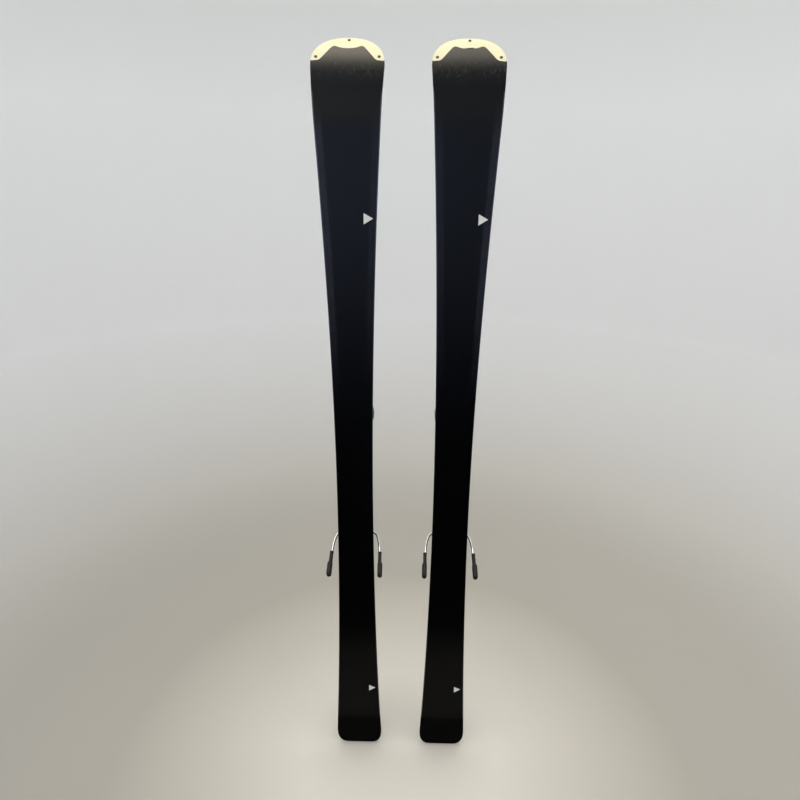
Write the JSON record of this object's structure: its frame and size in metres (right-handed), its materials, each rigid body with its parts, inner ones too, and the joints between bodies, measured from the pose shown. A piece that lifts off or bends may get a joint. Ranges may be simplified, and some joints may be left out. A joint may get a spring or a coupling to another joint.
{
  "type": "pair of alpine skis with bindings",
  "caption": "Pair of carving skis upright on their tails, with laminated bodies, steel edges, rail-mounted toe and heel bindings and sprung ski brakes.",
  "frame": {"origin": "the point between the two tail ends, in the plane of the running bases, where a stand would hold the pair", "axes": "+Z along the skis from tail to tip, +Y from the running bases to the bindings, +X from the left ski to the right one as seen from the base side"},
  "size_m": [0.3304, 0.1664, 1.57],
  "materials": {
    "base_polyethylene": "sintered, satin",
    "edge_steel": "ground",
    "core_wood": "raw",
    "sidewall_abs": "satin",
    "top_sheet": "satin",
    "tip_ivory": "satin",
    "aluminium": "anodised",
    "dark_plastic": "moulded, fine texture",
    "slider_grey": "smooth",
    "spring_steel": "plated",
    "chromed_wire": "polished",
    "foot_plastic": "moulded"
  },
  "bodies": {
    "left_ski": {"left_base": "base_polyethylene", "left_tip_plate": "tip_ivory", "left_core": "core_wood", "left_topsheet": "top_sheet", "left_tail_protector": "aluminium", "left_edge_outer": "edge_steel", "left_edge_inner": "edge_steel", "left_sidewall_outer": "sidewall_abs", "left_sidewall_inner": "sidewall_abs", "left_toe_rail": "dark_plastic", "left_heel_rail": "dark_plastic"},
    "left_toe": {"left_toe_carriage": "dark_plastic", "left_toe_housing": "dark_plastic", "left_toe_slide_pad": "slider_grey", "left_toe_spring": "spring_steel"},
    "left_toe_wing_outer": {"left_toe_wing_outer": "dark_plastic"},
    "left_toe_wing_inner": {"left_toe_wing_inner": "dark_plastic"},
    "left_toe_screw": {"left_toe_screw": "spring_steel"},
    "left_heel": {"left_heel_carriage": "dark_plastic", "left_heel_axle": "spring_steel", "left_brake_base": "dark_plastic"},
    "left_heel_cup": {"left_heel_cup": "dark_plastic", "left_heel_spring": "spring_steel"},
    "left_heel_screw": {"left_heel_screw": "spring_steel"},
    "left_heel_lever": {"left_heel_lever": "tip_ivory"},
    "left_brake": {"left_brake_pedal": "dark_plastic", "left_brake_arm_outer": "chromed_wire", "left_brake_arm_inner": "chromed_wire", "left_brake_foot_outer": "foot_plastic", "left_brake_foot_inner": "foot_plastic"},
    "right_ski": {"right_base": "base_polyethylene", "right_tip_plate": "tip_ivory", "right_core": "core_wood", "right_topsheet": "top_sheet", "right_tail_protector": "aluminium", "right_edge_outer": "edge_steel", "right_edge_inner": "edge_steel", "right_sidewall_outer": "sidewall_abs", "right_sidewall_inner": "sidewall_abs", "right_toe_rail": "dark_plastic", "right_heel_rail": "dark_plastic"},
    "right_toe": {"right_toe_carriage": "dark_plastic", "right_toe_housing": "dark_plastic", "right_toe_slide_pad": "slider_grey", "right_toe_spring": "spring_steel"},
    "right_toe_wing_outer": {"right_toe_wing_outer": "dark_plastic"},
    "right_toe_wing_inner": {"right_toe_wing_inner": "dark_plastic"},
    "right_toe_screw": {"right_toe_screw": "spring_steel"},
    "right_heel": {"right_heel_carriage": "dark_plastic", "right_heel_axle": "spring_steel", "right_brake_base": "dark_plastic"},
    "right_heel_cup": {"right_heel_cup": "dark_plastic", "right_heel_spring": "spring_steel"},
    "right_heel_screw": {"right_heel_screw": "spring_steel"},
    "right_heel_lever": {"right_heel_lever": "tip_ivory"},
    "right_brake": {"right_brake_pedal": "dark_plastic", "right_brake_arm_outer": "chromed_wire", "right_brake_arm_inner": "chromed_wire", "right_brake_foot_outer": "foot_plastic", "right_brake_foot_inner": "foot_plastic"}
  },
  "joints": [
    {"name": "left_toe_adjust", "type": "slide", "parent": "left_ski", "child": "left_toe", "axis": [0, 0, 1], "range_m": [-0.03, 0.012]},
    {"name": "left_toe_wing_outer_swing", "type": "hinge", "parent": "left_toe", "child": "left_toe_wing_outer", "pos_m": [-0.1195, 0.052, 0.908], "axis": [0, 1, 0], "range_deg": [0, 30], "stiffness_Nm_per_rad": 2},
    {"name": "left_toe_wing_inner_swing", "type": "hinge", "parent": "left_toe", "child": "left_toe_wing_inner", "pos_m": [-0.0855, 0.052, 0.908], "axis": [0, -1, 0], "range_deg": [0, 30], "stiffness_Nm_per_rad": 2},
    {"name": "left_toe_screw_turn", "type": "hinge", "parent": "left_toe", "child": "left_toe_screw", "pos_m": [-0.1025, 0.052, 0.975], "axis": [0, 0, 1], "continuous": true},
    {"name": "left_heel_adjust", "type": "slide", "parent": "left_ski", "child": "left_heel", "axis": [0, 0, 1], "range_m": [-0.03, 0.012]},
    {"name": "left_heel_cup_tilt", "type": "hinge", "parent": "left_heel", "child": "left_heel_cup", "pos_m": [-0.1025, 0.045, 0.495], "axis": [-1, 0, 0], "range_deg": [0, 40]},
    {"name": "left_heel_screw_turn", "type": "hinge", "parent": "left_heel_cup", "child": "left_heel_screw", "pos_m": [-0.1025, 0.06, 0.484], "axis": [0, 0, 1], "continuous": true},
    {"name": "left_heel_lever_tilt", "type": "hinge", "parent": "left_heel_cup", "child": "left_heel_lever", "pos_m": [-0.1025, 0.066, 0.497], "axis": [-1, 0, 0], "range_deg": [0, 10]},
    {"name": "left_brake_retract", "type": "hinge", "parent": "left_heel", "child": "left_brake", "pos_m": [-0.1025, 0.046, 0.599], "axis": [1, 0, 0], "range_deg": [0, 58], "stiffness_Nm_per_rad": 0.6, "springref_deg": -20.05},
    {"name": "right_ski_lift", "type": "slide", "parent": "left_ski", "child": "right_ski", "axis": [0, 0, 1], "range_m": [0, 0.25]},
    {"name": "right_toe_adjust", "type": "slide", "parent": "right_ski", "child": "right_toe", "axis": [0, 0, 1], "range_m": [-0.03, 0.012]},
    {"name": "right_toe_wing_outer_swing", "type": "hinge", "parent": "right_toe", "child": "right_toe_wing_outer", "pos_m": [0.1195, 0.052, 0.908], "axis": [0, -1, 0], "range_deg": [0, 30], "stiffness_Nm_per_rad": 2},
    {"name": "right_toe_wing_inner_swing", "type": "hinge", "parent": "right_toe", "child": "right_toe_wing_inner", "pos_m": [0.0855, 0.052, 0.908], "axis": [0, 1, 0], "range_deg": [0, 30], "stiffness_Nm_per_rad": 2},
    {"name": "right_toe_screw_turn", "type": "hinge", "parent": "right_toe", "child": "right_toe_screw", "pos_m": [0.1025, 0.052, 0.975], "axis": [0, 0, 1], "continuous": true},
    {"name": "right_heel_adjust", "type": "slide", "parent": "right_ski", "child": "right_heel", "axis": [0, 0, 1], "range_m": [-0.03, 0.012]},
    {"name": "right_heel_cup_tilt", "type": "hinge", "parent": "right_heel", "child": "right_heel_cup", "pos_m": [0.1025, 0.045, 0.495], "axis": [-1, 0, 0], "range_deg": [0, 40]},
    {"name": "right_heel_screw_turn", "type": "hinge", "parent": "right_heel_cup", "child": "right_heel_screw", "pos_m": [0.1025, 0.06, 0.484], "axis": [0, 0, 1], "continuous": true},
    {"name": "right_heel_lever_tilt", "type": "hinge", "parent": "right_heel_cup", "child": "right_heel_lever", "pos_m": [0.1025, 0.066, 0.497], "axis": [-1, 0, 0], "range_deg": [0, 10]},
    {"name": "right_brake_retract", "type": "hinge", "parent": "right_heel", "child": "right_brake", "pos_m": [0.1025, 0.046, 0.599], "axis": [1, 0, 0], "range_deg": [0, 58], "stiffness_Nm_per_rad": 0.6, "springref_deg": -20.05}
  ],
  "couplings": [
    {"joint": "left_heel_lever_tilt", "follows": "left_heel_cup_tilt", "ratio": 0.25},
    {"joint": "right_heel_lever_tilt", "follows": "right_heel_cup_tilt", "ratio": 0.25}
  ]
}
